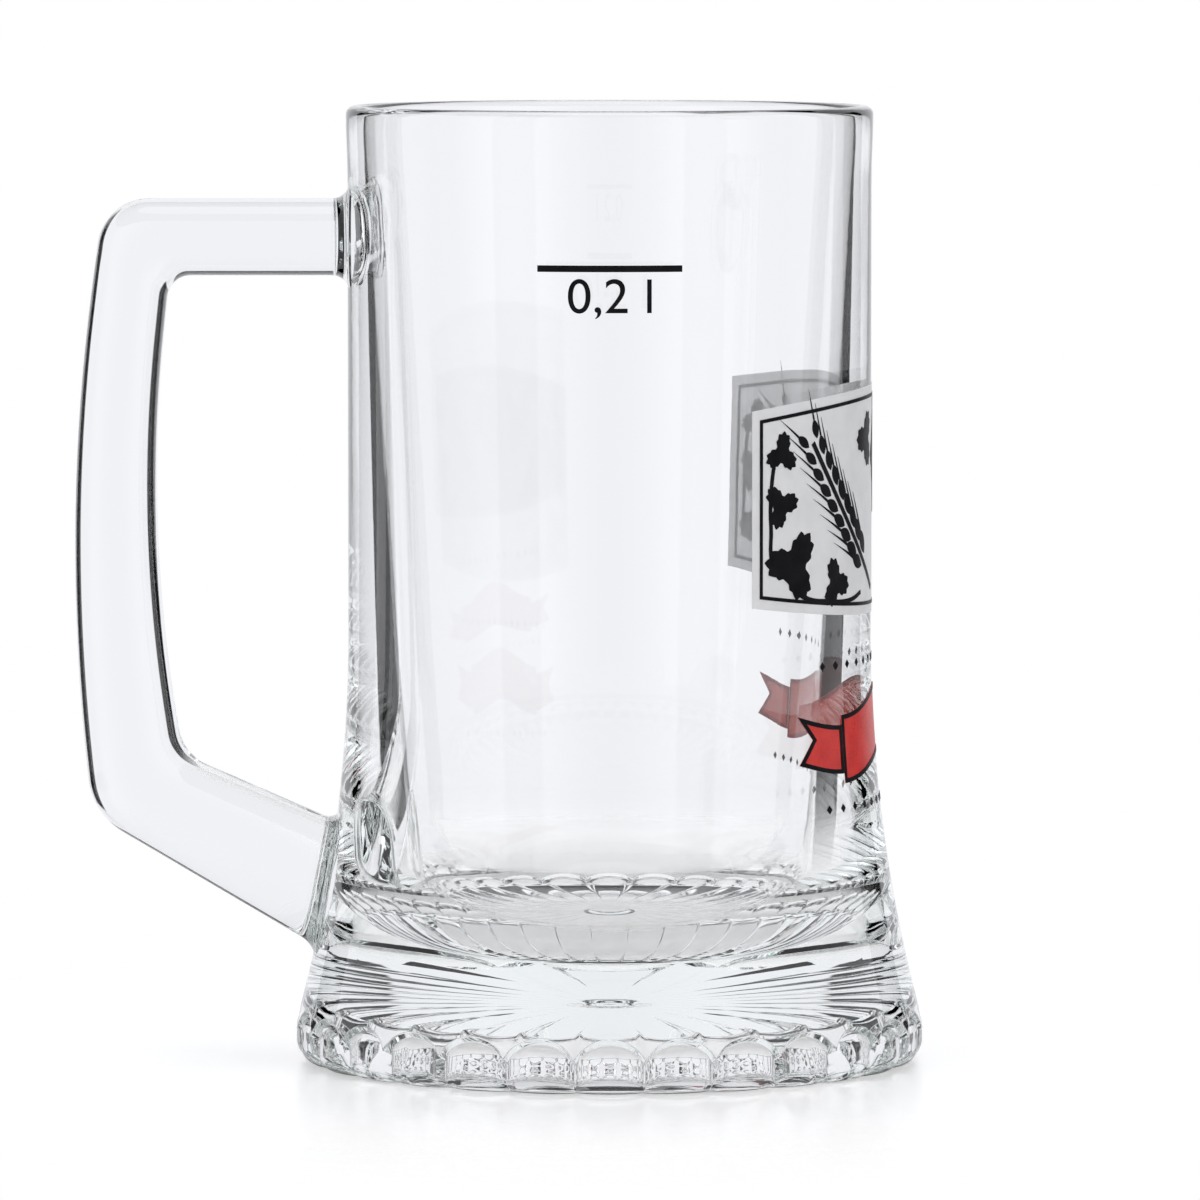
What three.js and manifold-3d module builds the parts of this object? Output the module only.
// Pressed glass beer mug: a bowl with a beaded foot and a star pressed into its base, a bowed handle joined
// to the bowl while hot, and a fired enamel print. Millimetres, +Z up. The bowl stands on z = 0, the handle
// points to -X, the measure line faces -Y and the picture faces +X.
import * as THREE from "three";
import { mergeVertices } from "three/addons/utils/BufferGeometryUtils.js";
import Module from "manifold-3d";

// Bowl
const rimHeight = 119.4;
const wallRadius = 32.65;
const rimThickness = 2.25;
const rimSwell = 0.2; // how far the rim stands proud of the wall
const rimSwellDrop = 9; // depth below the rim at which the swell starts
const boreTaper = 0.053; // radius that the bore loses for each millimetre of depth
const floorThickness = 12.4;
const floorFillet = 13.2;
const flareStart = 54; // height at which the wall starts to flare towards the foot
const flareRadius = 187; // radius of the flare's arc

// Beads round the foot
const beadCount = 28;
const beadHeight = 6.9; // top of a bead's arch
const beadValleyHeight = 4.3; // where two arches meet
const beadNoseHeight = 2.4; // height of a bead's widest point
const beadNoseRadius = 39.2;
const beadFootRadius = 36.6; // outer edge of the flat under a bead
const beadValleyDepth = 1.6; // radial depth of the notch between two beads
const ledgeDepth = 0.9; // how far the crease over a bead is set into the wall
const ledgeDrop = 0.75; // height of the sloping ledge over a bead
const shoulderRise = 0.6; // place of a bead's upper shoulder between its nose and its crease
const shoulderFall = 0.2; // how far that shoulder has fallen back towards the crease

// Rest ring and the star in the underside
const restInnerRadius = 32.9;
const restOuterRadius = 35.3; // under the groove between two beads
const starRise = 5.4; // height of the level star over the rest ring
const starDraft = 1.7; // how far the recess narrows from the rest ring up to the star
const starButtonRadius = 2.4;
const fluteDepth = 0.5; // of the valley between two of the star's rays, at the star's edge

// Handle
const handleDrop = 11.55; // from the rim to the top of the arm
const armThickness = 9.6;
const handleReach = 33.9; // from the wall to the outermost point of the grip
const gripThickness = 10.4;
const gripBowHeight = 67.1; // height of the grip's outermost point
const shoulderInset = 3.5; // the outer shoulder stands this far inside the reach
const innerShoulderInset = 1.3;
const heelInset = 1.8;
const innerHeelInset = 2.8;
const heelHeight = 30.9; // outer corner at the foot of the grip
const innerHeelHeight = 38.2;
const legFootHeight = 14.4; // where the leg's lower side meets the wall
const innerLegFootHeight = 29.9;
const shoulderRadius = 6.5;
const innerShoulderRadius = 3;
const heelRadius = 9;
const innerHeelRadius = 6;
const gripBowRadius = 248;
const innerGripBowRadius = 182;
const gripBowRise = 1.85; // how far the bow's corner point stands outside its arc
const handleWidth = 12.4;
const sectionSquareness = 2.7; // exponent of the section's superellipse
const weldFillet = 2.2; // radius with which the handle's ends spread on the wall
const weldGap = 0.3;
const weldDepth = 2.6; // length of handle inside the wall before it is trimmed to it

// Enamel print
const enamelThickness = 0.12;
const enamelGap = 0.06;
const measureDrop = 19.1; // from the rim to the middle of the measure line
const measureLength = 17.8;
const measureStroke = 0.8;
const panelLow = 56.4;
const panelHigh = 84.9;
const panelHalfWidth = 33;
const panelArch = 2.2; // rise of the panel's top and bottom edges
const ribbonHeight = 41.8;
const ribbonBreadth = 8.4;
const ribbonHalfLength = 17;
const ribbonTail = 9;
const ribbonTailBreadth = 6;
const ribbonNotch = 2.6;
const ribbonWave = 1.4;
const earFoot = 4.5; // distance of an ear's foot from the picture's middle
const earBend = 15;
const earSpread = 23;
const earLift = 7; // height of an ear's bend over its foot
const earHalfWidth = 3;
const earKernels = 9;
const picturePad = 3.2; // bare margin over and under the motifs on the panel
const hopHalfWidth = 4.8;
const hopLength = 13;
const hopBracts = 4;
const spindleTip = 0.15; // half width at a spindle's tip
const spindleStart = 0.12; // part of a half wave that is left off at a spindle's foot
const spindleSpan = 0.8; // part of a half wave that a spindle's width follows
const spindleFullness = 0.7; // power that rounds the half wave
const scaleFoot = 0.04; // start of a scale along its share of the stem
const scaleTip = 0.86; // widest point of a scale
const scaleFootWidth = 0.62; // width at a scale's foot against its tip

// Facets
const facetsPerBead = 4;
const flareRows = 9;
const rimSteps = 6;
const filletSteps = 8;
const beadSteps = 3;
const sectionPoints = 16;
const cornerSteps = 6;
const bowSteps = 9;
const runSteps = 3;
const collarSteps = 5;
const printStep = 2; // length of a print facet round the wall
const spindleRows = 5;
const mergeDistance = 1e-4;

const wallColumns = beadCount * facetsPerBead;
const wasm = await Module();
wasm.setup();

// Points on the arc that rounds the corner between two straight lines
function roundCorner(before, corner, after, radius, steps) {
  const back = before.clone().sub(corner).normalize();
  const ahead = after.clone().sub(corner).normalize();
  const halfAngle = Math.acos(back.dot(ahead)) / 2;
  const reach = radius / Math.tan(halfAngle);
  const middle = back.clone().add(ahead).normalize();
  const centre = corner.clone().addScaledVector(middle, radius / Math.sin(halfAngle));
  const start = corner.clone().addScaledVector(back, reach).sub(centre);
  const end = corner.clone().addScaledVector(ahead, reach).sub(centre);
  const turn = Math.atan2(start.cross(end), start.dot(end));
  const points = [];
  for (let step = 0; step <= steps; step += 1) {
    const angle = (turn * step) / steps;
    points.push(start.clone().rotateAround(new THREE.Vector2(), angle).add(centre));
  }
  return points;
}

// Points along a straight line, its far end left out
function straightRun(from, to, steps) {
  const points = [];
  for (let step = 0; step < steps; step += 1) {
    points.push(from.clone().lerp(to, step / steps));
  }
  return points;
}

// Radius of the smooth outer wall, before the beads are pressed into it
function flareAt(height) {
  const below = Math.max(flareStart - height, 0);
  return wallRadius + flareRadius - Math.sqrt(flareRadius ** 2 - below ** 2);
}

// The outer wall from above the beads to under the rim, as radius and height
function wallProfile() {
  const low = beadHeight + ledgeDrop;
  const points = [];
  for (let row = 0; row <= flareRows; row += 1) {
    const height = THREE.MathUtils.lerp(low, flareStart, row / flareRows);
    points.push(new THREE.Vector2(flareAt(height), height));
  }
  points.push(new THREE.Vector2(wallRadius, rimHeight - rimSwellDrop));
  return points;
}

// Radius of the faceted wall at a height, so that what lies on the wall stays parallel to it
function wallAt(height) {
  const rows = wallProfile();
  const rowsBelow = rows.filter((row) => row.y < height).length;
  const above = THREE.MathUtils.clamp(rowsBelow, 1, rows.length - 1);
  const low = rows[above - 1];
  const high = rows[above];
  return THREE.MathUtils.mapLinear(height, low.y, high.y, low.x, high.x);
}

// The underside from its middle to the rest ring: a level recess whose rays run out from the button, with
// valleys that are deeper the wider the rays stand apart.
function starProfile(valleyDepth, ringRadius) {
  return [
    new THREE.Vector2(0, starRise),
    new THREE.Vector2(starButtonRadius, starRise),
    new THREE.Vector2(restInnerRadius - starDraft, starRise + valleyDepth),
    new THREE.Vector2(restInnerRadius, 0),
    new THREE.Vector2(ringRadius, 0),
  ];
}

// One bead from the rest ring over its nose to the crease and the ledge that ends at the wall
function beadProfile(footRadius, noseRadius, noseHeight, archHeight) {
  const points = [];
  for (let step = 1; step <= beadSteps; step += 1) {
    const angle = (Math.PI / 2) * (step / beadSteps);
    const radius = THREE.MathUtils.lerp(footRadius, noseRadius, Math.sin(angle));
    points.push(new THREE.Vector2(radius, noseHeight * (1 - Math.cos(angle))));
  }
  const creaseHeight = archHeight - ledgeDrop;
  const crease = new THREE.Vector2(Math.min(flareAt(creaseHeight) - ledgeDepth, noseRadius), creaseHeight);
  const shoulder = points.at(-1).clone().lerp(crease, shoulderRise);
  shoulder.x = THREE.MathUtils.lerp(noseRadius, crease.x, shoulderFall);
  points.push(shoulder, crease, new THREE.Vector2(flareAt(archHeight), archHeight));
  return points;
}

// The rounded rim and the inside of the bowl down to the middle of its floor
function insideProfile() {
  const rimMiddle = wallRadius + rimSwell - rimThickness / 2;
  const rimCentre = rimHeight - rimThickness / 2;
  const points = [];
  for (let step = 0; step <= rimSteps; step += 1) {
    const angle = (Math.PI * step) / rimSteps;
    const radius = rimMiddle + (rimThickness / 2) * Math.cos(angle);
    points.push(new THREE.Vector2(radius, rimCentre + (rimThickness / 2) * Math.sin(angle)));
  }
  const top = points.at(-1);
  const cornerRadius = top.x - boreTaper * (rimCentre - floorThickness);
  const corner = new THREE.Vector2(cornerRadius, floorThickness);
  const middle = new THREE.Vector2(0, floorThickness);
  points.push(...roundCorner(top, corner, middle, floorFillet, filletSteps), middle);
  return points;
}

// A revolve whose section swings from one profile on the crest of each lobe to another between two lobes
function lobedRevolve(crest, valley) {
  const geometry = new THREE.LatheGeometry(crest, wallColumns);
  const position = geometry.getAttribute("position");
  for (let column = 0; column <= wallColumns; column += 1) {
    const turn = (2 * Math.PI * (column % wallColumns)) / wallColumns;
    const phase = (column % facetsPerBead) / facetsPerBead;
    const share = (2 * Math.min(phase, 1 - phase)) ** 2;
    crest.forEach((onCrest, row) => {
      const point = onCrest.clone().lerp(valley[row], share);
      const index = column * crest.length + row;
      position.setXYZ(index, point.x * Math.sin(turn), point.y, point.x * Math.cos(turn));
    });
  }
  return geometry.rotateX(Math.PI / 2);
}

function mugBody() {
  const upper = [...wallProfile(), ...insideProfile()];
  const crest = [
    ...starProfile(0, beadFootRadius),
    ...beadProfile(beadFootRadius, beadNoseRadius, beadNoseHeight, beadHeight),
    ...upper,
  ];
  const valleyNose = beadNoseRadius - beadValleyDepth;
  const valleyNoseHeight = (beadNoseHeight * beadValleyHeight) / beadHeight;
  const valley = [
    ...starProfile(fluteDepth, restOuterRadius),
    ...beadProfile(restOuterRadius, valleyNose, valleyNoseHeight, beadValleyHeight),
    ...upper,
  ];
  return lobedRevolve(crest, valley);
}

// The space that the bowl's wall takes from the handle's ends
function wallEnvelope() {
  const rows = wallProfile().map((row) => new THREE.Vector2(row.x + weldGap, row.y));
  rows.unshift(new THREE.Vector2(0, rows[0].y));
  rows.push(new THREE.Vector2(rows.at(-1).x, rimHeight), new THREE.Vector2(0, rimHeight));
  return new THREE.LatheGeometry(rows, wallColumns).rotateX(Math.PI / 2);
}

// A closed solid for cutting, from a geometry
function toSolid(geometry) {
  const bare = new THREE.BufferGeometry();
  bare.setAttribute("position", geometry.getAttribute("position"));
  bare.setIndex(geometry.getIndex());
  const merged = mergeVertices(bare, mergeDistance);
  const vertProperties = new Float32Array(merged.getAttribute("position").array);
  const triVerts = new Uint32Array(merged.getIndex().array);
  return new wasm.Manifold(new wasm.Mesh({ numProp: 3, vertProperties, triVerts }));
}

function toGeometry(solid) {
  const { numProp, vertProperties, triVerts } = solid.getMesh();
  const geometry = new THREE.BufferGeometry();
  const position = new Float32Array((vertProperties.length / numProp) * 3);
  for (let index = 0; index < position.length / 3; index += 1) {
    position.set(vertProperties.subarray(index * numProp, index * numProp + 3), index * 3);
  }
  geometry.setAttribute("position", new THREE.BufferAttribute(position, 3));
  geometry.setIndex(new THREE.BufferAttribute(new Uint32Array(triVerts), 1));
  return geometry;
}

// One side of the handle in the XZ plane, from inside the wall at the neck round to inside the foot
function handleSide({ armHeight, shoulder, bow, heel, footHeight, shoulderRound, bowRound, heelRound }) {
  const legX = -wallAt(footHeight);
  const legAt = (x) => THREE.MathUtils.mapLinear(x, heel.x, legX, heel.y, footHeight);
  const collarReach = weldFillet + weldGap;
  const armRoot = new THREE.Vector2(weldDepth - wallRadius, armHeight);
  const armCollar = new THREE.Vector2(-wallRadius - collarReach, armHeight);
  const legCollar = new THREE.Vector2(legX - collarReach, legAt(legX - collarReach));
  const legRoot = new THREE.Vector2(legX + weldDepth, legAt(legX + weldDepth));
  const top = roundCorner(armCollar, shoulder, bow, shoulderRound, cornerSteps);
  const grip = roundCorner(shoulder, bow, heel, bowRound, bowSteps);
  const bottom = roundCorner(bow, heel, legCollar, heelRound, cornerSteps);
  return [
    ...straightRun(armRoot, armCollar, collarSteps),
    ...straightRun(armCollar, top[0], runSteps),
    ...top,
    ...grip,
    ...bottom,
    ...straightRun(bottom.at(-1), legCollar, runSteps).slice(1),
    ...straightRun(legCollar, legRoot, collarSteps),
    legRoot,
  ];
}

function outerSide() {
  const reach = wallRadius + handleReach;
  const armHeight = rimHeight - handleDrop;
  return handleSide({
    armHeight,
    shoulder: new THREE.Vector2(shoulderInset - reach, armHeight),
    bow: new THREE.Vector2(-reach - gripBowRise, gripBowHeight),
    heel: new THREE.Vector2(heelInset - reach, heelHeight),
    footHeight: legFootHeight,
    shoulderRound: shoulderRadius,
    bowRound: gripBowRadius,
    heelRound: heelRadius,
  });
}

function innerSide() {
  const reach = wallRadius + handleReach - gripThickness;
  const armHeight = rimHeight - handleDrop - armThickness;
  return handleSide({
    armHeight,
    shoulder: new THREE.Vector2(innerShoulderInset - reach, armHeight),
    bow: new THREE.Vector2(-reach - gripBowRise, gripBowHeight),
    heel: new THREE.Vector2(innerHeelInset - reach, innerHeelHeight),
    footHeight: innerLegFootHeight,
    shoulderRound: innerShoulderRadius,
    bowRound: innerGripBowRadius,
    heelRound: innerHeelRadius,
  });
}

// How much a handle section widens at a distance from the wall
function weldSpread(distance) {
  const into = weldFillet - THREE.MathUtils.clamp(distance, 0, weldFillet);
  return weldFillet - Math.sqrt(weldFillet ** 2 - into ** 2);
}

// The handle as a loft of superellipse sections between its outer and inner side
function handle() {
  const outer = outerSide();
  const inner = innerSide();
  const positions = [];
  const indices = [];
  const signedPower = (value) => Math.sign(value) * Math.abs(value) ** (2 / sectionSquareness);
  outer.forEach((outside, station) => {
    const middle = outside.clone().lerp(inner[station], 0.5);
    const across = outside.clone().sub(inner[station]);
    const spread = weldSpread(-middle.x - wallAt(middle.y) - weldGap);
    const half = across.length() / 2 + spread;
    across.normalize();
    for (let point = 0; point < sectionPoints; point += 1) {
      const angle = (2 * Math.PI * point) / sectionPoints;
      const along = signedPower(Math.cos(angle)) * half;
      const side = signedPower(Math.sin(angle)) * (handleWidth / 2 + spread);
      positions.push(middle.x + across.x * along, side, middle.y + across.y * along);
    }
  });
  const ring = (station, point) => station * sectionPoints + (point % sectionPoints);
  for (let station = 0; station < outer.length - 1; station += 1) {
    for (let point = 0; point < sectionPoints; point += 1) {
      const here = ring(station, point);
      const beside = ring(station, point + 1);
      const ahead = ring(station + 1, point);
      const opposite = ring(station + 1, point + 1);
      indices.push(here, beside, ahead, beside, opposite, ahead);
    }
  }
  const last = outer.length - 1;
  for (let point = 1; point < sectionPoints - 1; point += 1) {
    indices.push(ring(0, 0), ring(0, point + 1), ring(0, point));
    indices.push(ring(last, 0), ring(last, point), ring(last, point + 1));
  }
  const geometry = new THREE.BufferGeometry();
  geometry.setAttribute("position", new THREE.Float32BufferAttribute(positions, 3));
  geometry.setIndex(indices);
  return toGeometry(toSolid(geometry).subtract(toSolid(wallEnvelope())));
}

// Enamel burnt onto the wall, from rows of flat points. A point's x runs round the wall from the facing
// angle and its y is the height. All rows have the same number of points and go the same way, the lowest
// row first. A layer lies on the one before it.
function enamel(rows, facing, layer) {
  const columns = rows[0].length;
  const lift = enamelGap + layer * (enamelThickness + enamelGap);
  const positions = [];
  for (const rise of [lift, lift + enamelThickness]) {
    for (const point of rows.flat()) {
      const angle = facing + point.x / wallRadius;
      const radius = wallAt(point.y) + rise;
      positions.push(radius * Math.cos(angle), radius * Math.sin(angle), point.y);
    }
  }
  const under = (row, column) => row * columns + column;
  const over = (row, column) => under(row + rows.length, column);
  const indices = [];
  const addQuad = (a, b, c, d) => indices.push(a, b, c, a, c, d);
  const lastRow = rows.length - 1;
  const lastColumn = columns - 1;
  for (let row = 0; row < lastRow; row += 1) {
    for (let column = 0; column < lastColumn; column += 1) {
      const next = column + 1;
      addQuad(over(row, column), over(row, next), over(row + 1, next), over(row + 1, column));
      addQuad(under(row, next), under(row, column), under(row + 1, column), under(row + 1, next));
    }
    const above = row + 1;
    addQuad(under(row, 0), over(row, 0), over(above, 0), under(above, 0));
    const [low, high] = [row, above].map((end) => [over(end, lastColumn), under(end, lastColumn)]);
    addQuad(...low, high[1], high[0]);
  }
  for (let column = 0; column < lastColumn; column += 1) {
    const next = column + 1;
    addQuad(under(0, column), under(0, next), over(0, next), over(0, column));
    addQuad(over(lastRow, column), over(lastRow, next), under(lastRow, next), under(lastRow, column));
  }
  const geometry = new THREE.BufferGeometry();
  geometry.setAttribute("position", new THREE.Float32BufferAttribute(positions, 3));
  geometry.setIndex(indices);
  return geometry;
}

// Points at even steps from one end of a band to the other, at a height that may change along it
function bandEdge(halfLength, heightAt) {
  const steps = Math.ceil((2 * halfLength) / printStep);
  const points = [];
  for (let step = 0; step <= steps; step += 1) {
    const along = (2 * step) / steps - 1;
    points.push(new THREE.Vector2(along * halfLength, heightAt(along)));
  }
  return points;
}

function measureRows() {
  const low = rimHeight - measureDrop - measureStroke / 2;
  return [low, low + measureStroke].map((height) => bandEdge(measureLength / 2, () => height));
}

// The panel is arched over and under the picture
function panelRows() {
  const bow = (along) => panelArch * (1 - along ** 2);
  const low = bandEdge(panelHalfWidth, (along) => panelLow + panelArch - bow(along));
  const high = bandEdge(panelHalfWidth, (along) => panelHigh - panelArch + bow(along));
  return [low, high];
}

// A waved ribbon that drops to a narrower, notched tail at each end
function ribbonRows() {
  const tail = ribbonHalfLength / (ribbonHalfLength + ribbonTail);
  const wave = (along) => ribbonWave * Math.cos((Math.PI * along) / tail);
  const sides = [-0.5, 0, 0.5];
  return sides.map((side) => {
    const edge = bandEdge(ribbonHalfLength + ribbonTail, (along) => {
      const onTail = Math.abs(along) > tail;
      const breadth = onTail ? ribbonTailBreadth : ribbonBreadth;
      return ribbonHeight + wave(along) + side * breadth;
    });
    if (side === 0) {
      edge[0].x += ribbonNotch;
      edge.at(-1).x -= ribbonNotch;
    }
    return edge;
  });
}

// A spindle of overlapping scales along a stem: an ear of barley, or a hop cone on a straight stem
function scaledSpindle(stem, halfWidth, scales) {
  const rows = Array.from({ length: spindleRows }, () => []);
  const addStation = (along, width) => {
    const tangent = stem.getTangent(along);
    const right = new THREE.Vector2(tangent.y, -tangent.x);
    rows.forEach((row, index) => {
      const side = 1 - (2 * index) / (spindleRows - 1);
      row.push(stem.getPoint(along).addScaledVector(right, side * width));
    });
  };
  for (let scale = 0; scale < scales; scale += 1) {
    for (const [share, fullness] of [[scaleFoot, scaleFootWidth], [scaleTip, 1]]) {
      const along = (scale + share) / scales;
      const belly = Math.sin(Math.PI * (spindleStart + spindleSpan * along)) ** spindleFullness;
      addStation(along, halfWidth * belly * fullness);
    }
  }
  addStation(1, spindleTip);
  return rows;
}

function barleyRows(side) {
  const foot = new THREE.Vector2(side * earFoot, panelLow + picturePad);
  const bend = new THREE.Vector2(side * earBend, panelLow + picturePad + earLift);
  const tip = new THREE.Vector2(side * earSpread, panelHigh - 2 * picturePad);
  return scaledSpindle(new THREE.QuadraticBezierCurve(foot, bend, tip), earHalfWidth, earKernels);
}

function hopRows() {
  const top = new THREE.Vector2(0, panelHigh - picturePad);
  const tip = new THREE.Vector2(0, panelHigh - picturePad - hopLength);
  return scaledSpindle(new THREE.LineCurve(top, tip), hopHalfWidth, hopBracts);
}

const glass = new THREE.MeshStandardMaterial({ color: 0xe9efec, roughness: 0.03, metalness: 0 });
const blackEnamel = new THREE.MeshStandardMaterial({ color: 0x0b0b0c, roughness: 0.35, metalness: 0 });
const paleEnamel = new THREE.MeshStandardMaterial({ color: 0xdcdcda, roughness: 0.4, metalness: 0 });
const redEnamel = new THREE.MeshStandardMaterial({ color: 0xc8201c, roughness: 0.35, metalness: 0 });

const group = new THREE.Group();

function addPiece(name, geometry, material) {
  const mesh = new THREE.Mesh(geometry, material.clone());
  mesh.name = name;
  group.add(mesh);
}

const measureSide = -Math.PI / 2; // the measure line's place on the wall
const pictureSide = 0; // the picture's place, opposite the handle
addPiece("mug_body", mugBody(), glass);
addPiece("handle", handle(), glass);
addPiece("measure_line", enamel(measureRows(), measureSide, 0), blackEnamel);
addPiece("print_panel", enamel(panelRows(), pictureSide, 0), paleEnamel);
addPiece("print_ribbon", enamel(ribbonRows(), pictureSide, 0), redEnamel);
addPiece("barley_ear_left", enamel(barleyRows(-1), pictureSide, 1), blackEnamel);
addPiece("barley_ear_right", enamel(barleyRows(1), pictureSide, 1), blackEnamel);
addPiece("hop_cone", enamel(hopRows(), pictureSide, 1), blackEnamel);

// The origin is under the middle of the mug's outline, handle included
const outline = new THREE.Box3().setFromObject(group);
group.position.x = -(outline.min.x + outline.max.x) / 2;

export default group;
